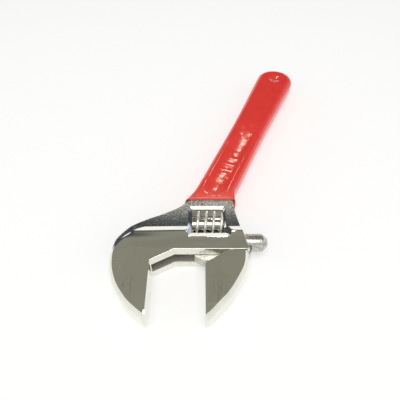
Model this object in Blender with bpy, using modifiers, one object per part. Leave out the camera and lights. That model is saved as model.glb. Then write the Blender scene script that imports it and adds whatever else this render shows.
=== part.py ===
"""Adjustable wrench of the 200 mm (8 in) class with a dipped grip.

Units are metres. The origin is the middle of the fixed jaw's flat face, half way through its thickness.
+X is the way the jaw opens, +Y runs from the jaw tips towards the handle, +Z is up through the thickness.
"""

import math

import bmesh
import bpy
from mathutils import Matrix, Vector

# Jaws and head
OPENING = 0.0250
TIP_Y = -0.0122
FACE_TOP_Y = 0.0129
THROAT_Y = 0.0185
THROAT_CORNER_X = 0.0108
HEAD_HALF = 0.0083
TIP_HALF = 0.0063
RAMP_Y = 0.0285
HEAD_RIGHT_X = 0.0455
EDGE_WIDTH = 0.0016
GAP = 0.0003

# Handle: the forging under the grip
HANDLE_START = Vector((0.0329, 0.0628))
HANDLE_END = Vector((0.0775, 0.1659))
WEB_HALF = 0.0045
HANDLE_HALF_WIDTH = 0.0084
HANDLE_SWELL = 0.0005
END_RADIUS = 0.0110
HANG_HOLE_RADIUS = 0.0040
PANEL_DEPTH = 0.0012

# Grip
GRIP_WALL = 0.0015
GRIP_HALF = WEB_HALF + GRIP_WALL
GRIP_FRONT_Y = 0.0506
GRIP_EDGE = 0.0022
DIMPLE_DEPTH = 0.0007

# Rack of the movable jaw and its bore and slot in the head
RACK_Y = 0.0271
RACK_RADIUS = 0.0044
RACK_LEFT_X = 0.0195
RACK_RIGHT_X = 0.0555
BORE_LEFT_X = -0.0060
NECK_HALF = 0.0030

# Knurl, its window, pin and spring
PITCH = 0.0039
KNURL_Y = 0.0375
KNURL_RADIUS = 0.0073
KNURL_ROOT_RADIUS = 0.0049
KNURL_LEFT_X = 0.0189
KNURL_RIGHT_X = 0.0341
THREAD_SHIFT = 0.0010
WINDOW_LOW = Vector((0.0186, 0.0282))
WINDOW_HIGH = Vector((0.0344, 0.0452))
WINDOW_CORNER = 0.0012
PIN_RADIUS = 0.0020
PIN_LEFT_X = 0.0147
PIN_RIGHT_X = 0.0415
SPRING_RADIUS = 0.0030
SPRING_WIRE = 0.00025
SPRING_POCKET_RADIUS = 0.0037
SPRING_POCKET_DEPTH = 0.0042

# Sizes of the blanks and cutters, and how finely round things are cut
ROUND_STEPS = 28
FLAT_ANGLE = math.radians(0.3)
BLANK_HALF = 0.0120
OUTSIDE_X = 0.0800
FAR = 0.30


# Collections, materials and small helpers


def clear_scene():
    for old in list(bpy.data.objects):
        bpy.data.objects.remove(old, do_unlink=True)


def new_collection(name):
    collection = bpy.data.collections.new(name)
    bpy.context.scene.collection.children.link(collection)
    return collection


def make_material(name, colour, roughness, metallic):
    material = bpy.data.materials.new(name)
    material.use_nodes = True
    shader = material.node_tree.nodes["Principled BSDF"]
    shader.inputs["Base Color"].default_value = (*colour, 1.0)
    shader.inputs["Roughness"].default_value = roughness
    shader.inputs["Metallic"].default_value = metallic
    return material


def add_object(name, mesh, collection):
    new_object = bpy.data.objects.new(name, mesh)
    collection.objects.link(new_object)
    return new_object


def hide_helper(helper):
    helper.hide_render = True
    helper.display_type = "WIRE"
    return helper


def finished_mesh(source):
    """The mesh that the object's modifiers or its curve make, with its caps welded on."""
    bpy.context.view_layer.update()
    graph = bpy.context.evaluated_depsgraph_get()
    mesh = bpy.data.meshes.new_from_object(source.evaluated_get(graph))
    edit = bmesh.new()
    edit.from_mesh(mesh)
    bmesh.ops.remove_doubles(edit, verts=edit.verts, dist=1e-6)
    bmesh.ops.recalc_face_normals(edit, faces=edit.faces)
    edit.to_mesh(mesh)
    edit.free()
    return mesh


def boolean(target, other, operation):
    modifier = target.modifiers.new(f"{operation.lower()} {other.name}", "BOOLEAN")
    modifier.operation = operation
    modifier.solver = "EXACT"
    modifier.object = other


def shade_round(target):
    target.data.shade_smooth()
    target.data.set_sharp_from_angle(angle=math.radians(35))


# Outlines: lists of Vector((x, y)) that run anticlockwise


def smooth_run(points, per_span=5):
    """A smooth curve through the points: uniform Catmull-Rom, with its ends kept."""
    ends = [2 * points[0] - points[1], *points, 2 * points[-1] - points[-2]]
    run = []
    for i in range(1, len(ends) - 2):
        before, start, stop, after = ends[i - 1 : i + 3]
        for step in range(per_span):
            t = step / per_span
            run.append(
                0.5
                * (
                    2 * start
                    + (stop - before) * t
                    + (2 * before - 5 * start + 4 * stop - after) * t**2
                    + (3 * start - before - 3 * stop + after) * t**3
                )
            )
    return [*run, points[-1]]


def arc(centre, radius, start, stop, steps):
    """Points on a circle from one angle to another, in radians."""
    angles = [start + (stop - start) * i / steps for i in range(steps + 1)]
    return [centre + radius * Vector((math.cos(a), math.sin(a))) for a in angles]


def rounded_rectangle(low, high, radius, steps=3):
    corners = [
        (Vector((high.x - radius, low.y + radius)), -90),
        (Vector((high.x - radius, high.y - radius)), 0),
        (Vector((low.x + radius, high.y - radius)), 90),
        (Vector((low.x + radius, low.y + radius)), 180),
    ]
    outline = []
    for centre, degrees in corners:
        outline += arc(centre, radius, math.radians(degrees), math.radians(degrees + 90), steps)
    return outline


def handle_direction():
    return (HANDLE_END - HANDLE_START).normalized()


def handle_side():
    """Unit vector across the handle, towards +X."""
    along = handle_direction()
    return Vector((along.y, -along.x))


def handle_outline(grow):
    """The handle from its right shoulder round its end to its left shoulder, grown outwards."""
    side = handle_side()
    turn = math.atan2(side.y, side.x)
    start = HANDLE_START + (HANDLE_HALF_WIDTH + grow) * side
    stop = HANDLE_START - (HANDLE_HALF_WIDTH + grow) * side
    middle = HANDLE_START.lerp(HANDLE_END, 0.5)
    middle_half = HANDLE_HALF_WIDTH + HANDLE_SWELL + grow
    end = arc(HANDLE_END, END_RADIUS + grow, turn, turn + math.pi, 14)
    right = smooth_run([start, middle + middle_half * side, end[0]], 6)
    left = smooth_run([end[-1], middle - middle_half * side, stop], 6)
    return right[:-1] + end[:-1] + left


def shoulder_outline():
    """The left shoulder, from the handle down to the widest part of the head."""
    points = [(0.0240, 0.0610), (0.0204, 0.0556), (0.0145, 0.0490), (0.0112, 0.0460)]
    return smooth_run([Vector(p) for p in points], 4)


def body_outline():
    """Plan of the forging, from the fixed jaw's tip up its face and all the way round."""
    face = [(0.0, TIP_Y), (0.0, FACE_TOP_Y), (THROAT_CORNER_X, THROAT_Y), (HEAD_RIGHT_X, THROAT_Y)]
    right = [(0.0425, 0.0317), (0.0403, 0.0470), (0.0404, 0.0545)]
    back = [(0.0112, 0.0460), (0.0040, 0.0418), (-0.0029, 0.0380), (-0.0105, 0.0330)]
    round_end = [(-0.0167, 0.0259), (-0.0184, 0.0185), (-0.0184, 0.0125), (-0.0172, 0.0070)]
    jaw = [(-0.0146, 0.0010), (-0.0098, -0.0055), (-0.0050, -0.0098), (-0.0012, -0.0126)]
    outline = [Vector(p) for p in face + right]
    outline += handle_outline(0)
    outline += shoulder_outline()[:-1]
    outline += smooth_run([Vector(p) for p in back + round_end + jaw], 4)
    return outline


def jaw_outline():
    """Plan of the movable jaw's plate, down its flat face and back up its round outer edge."""
    top = THROAT_Y - GAP
    outer = [(0.0011, TIP_Y - 0.0004), (0.0033, -0.0109), (0.0064, -0.0077), (0.0115, -0.0023)]
    upper = [(0.0158, 0.0042), (0.0192, 0.0110), (0.0203, top)]
    inner = [(0.0112, top), (0.0, 0.0118), (0.0, TIP_Y + 0.0008)]
    shift = Vector((OPENING, 0.0))
    run = smooth_run([Vector(p) + shift for p in outer + upper], 4)
    return [Vector(p) + shift for p in inner] + run


def thickness_outline():
    """Section along Y: ground flat at the head, tapered to the tips, and run down to the handle."""
    taper = [(-0.0200, TIP_HALF - 0.0005), (THROAT_Y, HEAD_HALF), (RAMP_Y, HEAD_HALF)]
    ramp = [(0.0322, 0.0069), (0.0370, 0.0056), (0.0420, 0.0048), (0.0480, WEB_HALF)]
    upper = [Vector(p) for p in [*taper, *ramp, (FAR, WEB_HALF)]]
    lower = [Vector((p.x, -p.y)) for p in upper]
    return lower + upper[::-1]


# Solids made from outlines


def prism(name, outline, low, high, collection):
    """A closed prism of the outline between two heights."""
    curve = bpy.data.curves.new(name, "CURVE")
    curve.dimensions = "2D"
    curve.fill_mode = "BOTH"
    curve.extrude = (high - low) / 2
    spline = curve.splines.new("POLY")
    spline.points.add(len(outline) - 1)
    for point, place in zip(spline.points, outline):
        point.co = (place.x, place.y, 0, 1)
    spline.use_cyclic_u = True
    drawn = add_object(name + " curve", curve, collection)
    mesh = finished_mesh(drawn)
    bpy.data.objects.remove(drawn, do_unlink=True)
    mesh.transform(Matrix.Translation((0, 0, (low + high) / 2)))
    return add_object(name, mesh, collection)


def side_prism(name, outline, low, high, collection):
    """A prism whose outline lies in the YZ plane and that runs along X."""
    solid = prism(name, outline, low, high, collection)
    turn = Matrix(((0, 0, 1, 0), (1, 0, 0, 0), (0, 1, 0, 0), (0, 0, 0, 1)))
    solid.data.transform(turn)
    return solid


def turned(name, profile, collection, cyclic=False):
    """A solid turned about Z from (radius, height) pairs that run down its outer side."""
    count = len(profile)
    edges = [(i, (i + 1) % count) for i in range(count if cyclic else count - 1)]
    mesh = bpy.data.meshes.new(name)
    mesh.from_pydata([(radius, 0, height) for radius, height in profile], edges, [])
    rough = add_object(name + " profile", mesh, collection)
    screw = rough.modifiers.new("turn", "SCREW")
    screw.steps = screw.render_steps = ROUND_STEPS
    screw.use_merge_vertices = True
    screw.merge_threshold = 1e-6
    solid = add_object(name, finished_mesh(rough), collection)
    bpy.data.objects.remove(rough, do_unlink=True)
    return solid


def along_x(target, x, y):
    """Stands a solid that was turned about Z along X instead, with its base at x."""
    target.location = (x, y, 0)
    target.rotation_euler = (0, math.radians(90), 0)
    return target


def rod_along_x(name, radius, left, right, y, collection):
    profile = [(0, right - left), (radius, right - left), (radius, 0), (0, 0)]
    return along_x(turned(name, profile, collection), left, y)


def chamfer_outer_edges(solid, is_outer, width):
    """Fixes the solid's modifiers into its mesh, then chamfers the edges between its broad faces and the
    side faces whose normal and place pass the test."""
    mesh = finished_mesh(solid)
    solid.modifiers.clear()
    edit = bmesh.new()
    edit.from_mesh(mesh)
    bmesh.ops.dissolve_limit(edit, angle_limit=FLAT_ANGLE, verts=[], edges=edit.edges)
    picked = []
    for edge in edit.edges:
        if len(edge.link_faces) != 2:
            continue
        broad, wall = sorted(edge.link_faces, key=lambda face: -abs(face.normal.z))
        middle = (edge.verts[0].co + edge.verts[1].co) / 2
        on_a_wall = abs(broad.normal.z) > 0.9 and abs(wall.normal.z) < 0.1
        if on_a_wall and is_outer(wall.normal, middle):
            picked.append(edge)
    bmesh.ops.bevel(edit, geom=picked, offset=width, segments=2, affect="EDGES", profile=0.5)
    bmesh.ops.remove_doubles(edit, verts=edit.verts, dist=1e-5)
    bmesh.ops.triangulate(edit, faces=edit.faces)
    edit.to_mesh(mesh)
    edit.free()
    solid.data = mesh


# Body


def pocket_cutter(side, cutters):
    """The sloped mouth of the knurl's window in one ground face: a box whose inner end is smaller."""
    floor, mouth = 0.0062, 0.0098
    edit = bmesh.new()
    bmesh.ops.create_cube(edit, size=1)
    for corner in edit.verts:
        outer = corner.co.z > 0
        low = WINDOW_LOW - (Vector((0.0030, 0.0055)) if outer else Vector((0, 0)))
        high = WINDOW_HIGH + (Vector((0.0030, 0.0055)) if outer else Vector((0, 0)))
        corner.co.x = high.x if corner.co.x > 0 else low.x
        corner.co.y = high.y if corner.co.y > 0 else low.y
        corner.co.z = side * (mouth if outer else floor)
    edit.normal_update()
    bmesh.ops.recalc_face_normals(edit, faces=edit.faces)
    mesh = bpy.data.meshes.new(f"pocket {side}")
    edit.to_mesh(mesh)
    edit.free()
    return add_object(f"pocket {side}", mesh, cutters)


def panel_outline():
    """Round-ended hollow along the handle, narrower than it on all sides."""
    side = handle_side()
    along = handle_direction()
    turn = math.atan2(side.y, side.x)
    start = HANDLE_START - 0.0020 * along
    stop = HANDLE_END - 0.0230 * along
    half = 0.0050
    tail = arc(start, half, turn + math.pi, turn + 2 * math.pi, 8)
    head = arc(stop, half, turn, turn + math.pi, 8)
    return tail + head


def panel_cutters(name, face_height, cutters):
    """The pair of cutters that sink the panel into both faces of the handle."""
    depth = PANEL_DEPTH
    outline = panel_outline()
    upper = prism(name + " top", outline, face_height - depth, face_height + depth, cutters)
    lower = prism(name + " bottom", outline, -face_height - depth, -face_height + depth, cutters)
    return [upper, lower]


def slot_outline():
    """Plan of the slot that the movable jaw's neck slides in, up to the middle of the bore."""
    left = BORE_LEFT_X + GAP
    outline = [(GAP, -0.0300), (OUTSIDE_X, -0.0300), (OUTSIDE_X, RACK_Y)]
    outline += [(left, RACK_Y), (left, 0.0176), (GAP, 0.0146)]
    return [Vector(p) for p in outline]


def hang_hole_cutter(cutters):
    top, radius = BLANK_HALF, HANG_HOLE_RADIUS
    hole = turned("hang hole", [(0, top), (radius, top), (radius, -top), (0, -top)], cutters)
    hole.location = (HANDLE_END.x, HANDLE_END.y, 0)
    return hole


def on_head_rim(normal, middle):
    """True for the head's outer side faces: not the jaw's flat face, the throat or the ramp."""
    return normal.x < 0.5 and normal.y > -0.9 and middle.y < RAMP_Y - 0.0005


def make_body(parts, cutters):
    body = prism("body", body_outline(), -BLANK_HALF, BLANK_HALF, parts)
    section = side_prism("thickness", thickness_outline(), -0.0600, 0.1600, cutters)
    boolean(body, section, "INTERSECT")
    chamfer_outer_edges(body, on_head_rim, EDGE_WIDTH)
    window = rounded_rectangle(WINDOW_LOW, WINDOW_HIGH, WINDOW_CORNER)
    tools = [
        rod_along_x("rack bore", RACK_RADIUS + GAP, BORE_LEFT_X, OUTSIDE_X, RACK_Y, cutters),
        prism("neck slot", slot_outline(), -NECK_HALF - GAP, NECK_HALF + GAP, cutters),
        prism("window", window, -BLANK_HALF, BLANK_HALF, cutters),
        pocket_cutter(1, cutters),
        pocket_cutter(-1, cutters),
        rod_along_x("pin hole", PIN_RADIUS + GAP, PIN_LEFT_X - GAP, OUTSIDE_X, KNURL_Y, cutters),
        hang_hole_cutter(cutters),
        *panel_cutters("handle panel", WEB_HALF, cutters),
    ]
    for tool in tools:
        boolean(body, tool, "DIFFERENCE")
    return body


# Movable jaw


def neck_outline():
    """Plan of the neck: a nose under the throat on its left, a fillet up to the rack on its right."""
    nose = [(OPENING + 0.0004, 0.0), (OPENING + 0.0002, 0.0152), (RACK_LEFT_X + 0.0007, 0.0180)]
    up = [(RACK_LEFT_X + 0.0007, RACK_Y), (0.0480, RACK_Y)]
    fillet = [(0.0475, 0.0220), (0.0461, 0.0192), (0.0440, 0.0165), (0.0400, 0.0080)]
    return [Vector(p) for p in (nose + up + fillet)][::-1]


def groove_places():
    """X of each groove of the rack: one pitch apart, in step with the knurl's thread."""
    first = KNURL_LEFT_X + THREAD_SHIFT - 0.25 * PITCH
    low, high = RACK_LEFT_X + 0.0010, RACK_RIGHT_X - 0.0010
    places = [first + i * PITCH for i in range(12)]
    return [x for x in places if low < x < high]


def groove_cutter(cutters):
    """All the grooves of the rack: rings about the knurl's axis that lean with its thread and clear it."""
    outer, inner = KNURL_RADIUS + GAP, KNURL_ROOT_RADIUS
    profile = [(inner, 0.00128), (outer, 0.00080), (outer, -0.00080), (inner, -0.00128)]
    ring = turned("groove ring", profile, cutters, cyclic=True)
    lean = Matrix.Shear("XY", 4, (-PITCH / (2 * math.pi * (KNURL_RADIUS - 0.0005)), 0.0))
    stand = Matrix.Rotation(math.radians(90), 4, "Y")
    edit = bmesh.new()
    for x in groove_places():
        placed = ring.data.copy()
        placed.transform(Matrix.Translation((x, KNURL_Y, 0)) @ lean @ stand)
        edit.from_mesh(placed)
    mesh = bpy.data.meshes.new("rack grooves")
    edit.to_mesh(mesh)
    edit.free()
    return add_object("rack grooves", mesh, cutters)


def make_rack(cutters):
    length = RACK_RIGHT_X - RACK_LEFT_X
    profile = [
        (0, length),
        (RACK_RADIUS - 0.0024, length),
        (RACK_RADIUS, length - 0.0026),
        (RACK_RADIUS, 0.0004),
        (RACK_RADIUS - 0.0004, 0),
        (0, 0),
    ]
    return along_x(turned("rack", profile, cutters), RACK_LEFT_X, RACK_Y)


def on_jaw_rim(normal, middle):
    """True for the movable jaw's outer side faces."""
    return normal.x > 0.2


def make_movable_jaw(parts, cutters):
    jaw = prism("movable_jaw", jaw_outline(), -BLANK_HALF, BLANK_HALF, parts)
    section = side_prism("jaw thickness", thickness_outline(), 0.0100, 0.0700, cutters)
    boolean(jaw, section, "INTERSECT")
    chamfer_outer_edges(jaw, on_jaw_rim, EDGE_WIDTH)
    boolean(jaw, prism("neck", neck_outline(), -NECK_HALF, NECK_HALF, cutters), "UNION")
    boolean(jaw, make_rack(cutters), "UNION")
    boolean(jaw, groove_cutter(cutters), "DIFFERENCE")
    return jaw


# Knurl, pin and spring


def thread_profile():
    """One pitch of the thread, from its top down: crest in the middle of the pitch, rounded."""
    crest, flank = 0.00045, 0.00085
    middle = PITCH / 2
    return [
        (KNURL_ROOT_RADIUS, PITCH),
        (KNURL_ROOT_RADIUS, middle + flank),
        (KNURL_RADIUS - 0.0004, middle + crest),
        (KNURL_RADIUS, middle + crest / 2),
        (KNURL_RADIUS, middle - crest / 2),
        (KNURL_RADIUS - 0.0004, middle - crest),
        (KNURL_ROOT_RADIUS, middle - flank),
        (KNURL_ROOT_RADIUS, 0),
    ]


def cap_thread_ends(mesh):
    """Closes both ends of the thread with a fan of triangles about the axis."""
    edit = bmesh.new()
    edit.from_mesh(mesh)
    bmesh.ops.remove_doubles(edit, verts=edit.verts, dist=1e-6)
    open_edges = [edge for edge in edit.edges if edge.is_boundary]
    middle = sum(edge.verts[0].co.z for edge in open_edges) / len(open_edges)
    for lower in (True, False):
        ring = [e for e in open_edges if ((e.verts[0].co.z + e.verts[1].co.z) / 2 < middle) == lower]
        height = sum(edge.verts[0].co.z for edge in ring) / len(ring)
        hub = edit.verts.new((0, 0, height))
        for edge in ring:
            edit.faces.new((*edge.verts, hub))
    bmesh.ops.recalc_face_normals(edit, faces=edit.faces)
    edit.to_mesh(mesh)
    edit.free()


def make_thread(cutters):
    """The knurl's thread, longer than the knurl at both ends: one pitch swept as a right-handed screw."""
    turns = math.ceil((KNURL_RIGHT_X - KNURL_LEFT_X) / PITCH) + 3
    profile = thread_profile()
    mesh = bpy.data.meshes.new("thread profile")
    edges = [(i, i + 1) for i in range(len(profile) - 1)]
    mesh.from_pydata([(radius, 0, height) for radius, height in profile], edges, [])
    rough = add_object("thread profile", mesh, cutters)
    screw = rough.modifiers.new("screw", "SCREW")
    screw.steps = screw.render_steps = ROUND_STEPS
    screw.screw_offset = PITCH
    screw.iterations = turns
    thread = add_object("thread", finished_mesh(rough), cutters)
    bpy.data.objects.remove(rough, do_unlink=True)
    cap_thread_ends(thread.data)
    return along_x(thread, KNURL_LEFT_X + THREAD_SHIFT - 2.5 * PITCH, KNURL_Y)


def make_knurl(parts, cutters):
    length = KNURL_RIGHT_X - KNURL_LEFT_X
    chamfer = 0.0006
    bore = PIN_RADIUS + GAP
    profile = [
        (bore, length),
        (KNURL_RADIUS - chamfer, length),
        (KNURL_RADIUS + 0.0002, length - chamfer - 0.0002),
        (KNURL_RADIUS + 0.0002, chamfer + 0.0002),
        (KNURL_RADIUS - chamfer, 0),
        (SPRING_POCKET_RADIUS, 0),
        (SPRING_POCKET_RADIUS, SPRING_POCKET_DEPTH),
        (bore, SPRING_POCKET_DEPTH),
    ]
    knurl = along_x(turned("knurl", profile, parts, cyclic=True), KNURL_LEFT_X, KNURL_Y)
    boolean(knurl, make_thread(cutters), "INTERSECT")
    return knurl


def make_pin(parts, cutters):
    length = PIN_RIGHT_X - PIN_LEFT_X
    profile = [
        (0, length),
        (PIN_RADIUS - 0.0003, length),
        (PIN_RADIUS, length - 0.0003),
        (PIN_RADIUS, 0.0004),
        (PIN_RADIUS - 0.0004, 0),
        (0, 0),
    ]
    pin = along_x(turned("knurl_pin", profile, parts), PIN_LEFT_X, KNURL_Y)
    edit = bmesh.new()
    bmesh.ops.create_cube(edit, size=1)
    bmesh.ops.scale(edit, vec=(0.0016, 0.0008, 0.0060), verts=edit.verts)
    mesh = bpy.data.meshes.new("driver slot")
    edit.to_mesh(mesh)
    edit.free()
    slot = add_object("driver slot", mesh, cutters)
    slot.location = (PIN_RIGHT_X, KNURL_Y, 0)
    boolean(pin, slot, "DIFFERENCE")
    return pin


def make_spring(parts):
    """Compression spring round the pin, between the window's wall and the floor of the knurl's pocket."""
    turns, per_turn = 3, 16
    start = KNURL_LEFT_X + SPRING_WIRE + 0.0001
    length = SPRING_POCKET_DEPTH - 2 * SPRING_WIRE - 0.0005
    curve = bpy.data.curves.new("knurl_spring", "CURVE")
    curve.dimensions = "3D"
    curve.bevel_depth = SPRING_WIRE
    curve.bevel_resolution = 2
    curve.use_fill_caps = True
    spline = curve.splines.new("POLY")
    spline.points.add(turns * per_turn)
    for i, point in enumerate(spline.points):
        angle = 2 * math.pi * i / per_turn
        along = length * i / (turns * per_turn)
        point.co = (along, SPRING_RADIUS * math.cos(angle), SPRING_RADIUS * math.sin(angle), 1)
    spring = add_object("knurl_spring", curve, parts)
    spring.location = (start, KNURL_Y, 0)
    return spring


# Grip


def grip_outline():
    """Plan of the grip: flared at its front, where it covers the shoulder, and round at its end."""
    outer = handle_outline(GRIP_WALL)
    front_left = Vector((0.0148, GRIP_FRONT_Y))
    front_right = Vector((0.0415, GRIP_FRONT_Y))
    right = smooth_run([front_right, Vector((0.0413, 0.0555)), outer[0]], 4)
    left = smooth_run([outer[-1], Vector((0.0224, 0.0612)), Vector((0.0190, 0.0563)), front_left], 4)
    return right[:-1] + outer[:-1] + left


def grip_cavity_outline():
    """The space for the handle inside the grip: the handle grown by the gap, open at the front."""
    inner = handle_outline(GAP)
    front = [Vector((0.0150, 0.0300)), Vector((0.0407, 0.0300)), Vector((0.0407, 0.0545))]
    left = [Vector((0.0236, 0.0612)), Vector((0.0200, 0.0558)), Vector((0.0142, 0.0492))]
    return front + inner + left


def dimple_cutter(side, cutters):
    """A shallow ball-shaped hollow over the hang hole."""
    radius = 0.0100
    edit = bmesh.new()
    bmesh.ops.create_uvsphere(edit, u_segments=20, v_segments=14, radius=radius)
    mesh = bpy.data.meshes.new(f"dimple {side}")
    edit.to_mesh(mesh)
    edit.free()
    ball = add_object(f"dimple {side}", mesh, cutters)
    ball.location = (HANDLE_END.x, HANDLE_END.y, side * (GRIP_HALF + radius - DIMPLE_DEPTH))
    return ball


def make_grip(parts, cutters):
    grip = prism("grip", grip_outline(), -GRIP_HALF, GRIP_HALF, parts)
    edit = bmesh.new()
    edit.from_mesh(grip.data)
    rims = [e for e in edit.edges if e.verts[0].co.z * e.verts[1].co.z > 0 and e.calc_face_angle(0) > 1.2]
    rims = [e for e in rims if max(corner.co.y for corner in e.verts) > GRIP_FRONT_Y + 0.001]
    bmesh.ops.bevel(edit, geom=rims, offset=GRIP_EDGE, segments=3, affect="EDGES", profile=0.5)
    edit.to_mesh(grip.data)
    edit.free()
    half = WEB_HALF + GAP
    boolean(grip, prism("grip cavity", grip_cavity_outline(), -half, half, cutters), "DIFFERENCE")
    for side in (1, -1):
        boolean(grip, dimple_cutter(side, cutters), "DIFFERENCE")
    return grip


def main():
    clear_scene()
    parts = new_collection("adjustable wrench")
    cutters = new_collection("cutters")
    chrome = make_material("polished chrome", (0.62, 0.62, 0.60), 0.15, 1.0)
    jaw_chrome = make_material("polished jaw chrome", (0.62, 0.62, 0.60), 0.15, 1.0)
    knurl_chrome = make_material("bright chrome", (0.78, 0.78, 0.74), 0.12, 1.0)
    pin_steel = make_material("plated pin", (0.60, 0.60, 0.58), 0.25, 1.0)
    spring_steel = make_material("spring steel", (0.45, 0.45, 0.46), 0.30, 1.0)
    vinyl = make_material("red vinyl", (0.72, 0.05, 0.04), 0.22, 0.0)
    made = [
        (make_body(parts, cutters), chrome),
        (make_movable_jaw(parts, cutters), jaw_chrome),
        (make_knurl(parts, cutters), knurl_chrome),
        (make_pin(parts, cutters), pin_steel),
        (make_spring(parts), spring_steel),
        (make_grip(parts, cutters), vinyl),
    ]
    for part, material in made:
        part.data.materials.clear()
        part.data.materials.append(material)
        if part.type == "MESH":
            shade_round(part)
    for helper in cutters.objects:
        hide_helper(helper)


main()
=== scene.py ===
import math

import bmesh
import bpy
import numpy as np
from bpy.props import FloatProperty, FloatVectorProperty, IntProperty, PointerProperty
from mathutils import Matrix, Vector
from mathutils.geometry import delaunay_2d_cdt


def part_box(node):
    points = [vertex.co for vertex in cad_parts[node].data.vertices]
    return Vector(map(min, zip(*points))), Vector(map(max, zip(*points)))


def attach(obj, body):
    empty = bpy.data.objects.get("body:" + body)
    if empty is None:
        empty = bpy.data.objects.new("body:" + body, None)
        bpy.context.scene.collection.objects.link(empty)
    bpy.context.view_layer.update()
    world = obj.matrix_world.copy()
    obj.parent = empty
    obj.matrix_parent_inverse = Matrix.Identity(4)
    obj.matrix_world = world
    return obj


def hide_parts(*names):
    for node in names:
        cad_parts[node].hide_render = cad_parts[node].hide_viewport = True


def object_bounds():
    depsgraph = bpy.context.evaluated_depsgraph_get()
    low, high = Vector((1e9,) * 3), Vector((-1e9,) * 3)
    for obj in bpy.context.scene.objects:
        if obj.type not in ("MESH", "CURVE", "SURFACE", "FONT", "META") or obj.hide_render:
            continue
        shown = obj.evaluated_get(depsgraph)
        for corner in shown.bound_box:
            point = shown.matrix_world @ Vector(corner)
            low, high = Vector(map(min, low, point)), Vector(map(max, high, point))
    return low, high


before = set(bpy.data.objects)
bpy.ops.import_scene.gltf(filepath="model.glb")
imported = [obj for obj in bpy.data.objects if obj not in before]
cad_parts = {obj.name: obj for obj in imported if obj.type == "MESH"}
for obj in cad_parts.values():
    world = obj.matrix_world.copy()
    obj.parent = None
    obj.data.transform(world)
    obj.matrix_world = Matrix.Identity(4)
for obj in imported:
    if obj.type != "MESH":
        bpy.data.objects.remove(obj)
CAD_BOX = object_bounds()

bl_info = {
    "name": "Adjustable Wrench",
    "version": (1, 0, 0),
    "blender": (4, 5, 0),
    "location": "View3D > Sidebar > Wrench",
    "description": "Builds the visible pieces of an adjustable wrench round its packed frame",
    "category": "Add Mesh",
}

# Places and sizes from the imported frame, in metres

KNURL_LOW, KNURL_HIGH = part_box("knurl")
PIN_LOW, PIN_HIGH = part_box("knurl_pin")
SPRING_LOW, SPRING_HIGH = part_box("knurl_spring")
GRIP_LOW, GRIP_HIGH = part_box("grip")

HEAD_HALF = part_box("body")[1].z
RACK_RIGHT_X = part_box("movable_jaw")[1].x
GRIP_HALF = GRIP_HIGH.z
GRIP_FRONT_Y = GRIP_LOW.y
KNURL_Y = (KNURL_LOW.y + KNURL_HIGH.y) / 2
KNURL_RADIUS = (KNURL_HIGH.z - KNURL_LOW.z) / 2
PIN_RADIUS = (PIN_HIGH.z - PIN_LOW.z) / 2

# Design sizes that the CAD part shares, in metres

OPENING = 0.0250
TIP_Y = -0.0122
THROAT_Y = 0.0185
TIP_HALF = 0.0063
RAMP_Y = 0.0285
BLAST_Y = 0.0321
WEB_HALF = 0.0045
HANDLE_START = Vector((0.0329, 0.0628))
HANDLE_END = Vector((0.0775, 0.1659))
HANDLE_HALF_WIDTH = 0.0084
HANDLE_SWELL = 0.0005
END_RADIUS = 0.0110
GRIP_WALL = 0.0015
GAP = 0.0003
RACK_Y = 0.0271
RACK_RADIUS = 0.0044
RACK_LEFT_X = 0.0195
BORE_LEFT_X = -0.0060
NECK_HALF = 0.0030
THREAD_SHIFT = 0.0010
KNURL_ROOT_RADIUS = 0.0049
WINDOW_LOW = Vector((0.0186, 0.0282))
WINDOW_HIGH = Vector((0.0344, 0.0452))
WINDOW_CORNER = 0.0012
SPRING_POCKET_RADIUS = 0.0037
SPRING_POCKET_DEPTH = 0.0042
# Right of the whole head, where its cutters end
PAST_HEAD_X = 0.0900

# Finer shapes of the forgings: an outer edge's radius as a share of its width, how fast the head falls behind
# its ground face and round its back corner, and the circles, as centre and radius, outside which the corner
# falls and is blasted

EDGE_RATIO = 2.6
HEAD_SLOPE = 0.378
CORNER_SLOPE = 0.30
SLOPE_CIRCLE = ((0.0071, 0.0069), 0.0266)
BLAST_CIRCLE = ((0.0055, 0.0092), 0.0248)

# Spacing of the points on straight outlines, and the distance below which two points are one

OUTLINE_STEP = 0.0012
WELD = 1e-7

# Places, as centre and reach, where the polished plating is scuffed and where it is stained

SCUFFED = (
    ((-0.0135, 0.0130, HEAD_HALF), (0.0048, 0.0105, 0.006)),
    ((-0.0075, 0.0195, HEAD_HALF), (0.0100, 0.0022, 0.006)),
)
STAINED = (
    ((-0.0085, 0.0010, TIP_HALF), (0.0050, 0.0070, 0.006)),
    ((OPENING + 0.0050, -0.0030, TIP_HALF), (0.0070, 0.0080, 0.006)),
    ((0.0170, THROAT_Y, 0.0), (0.0200, 0.0030, 0.0084)),
)


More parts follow.
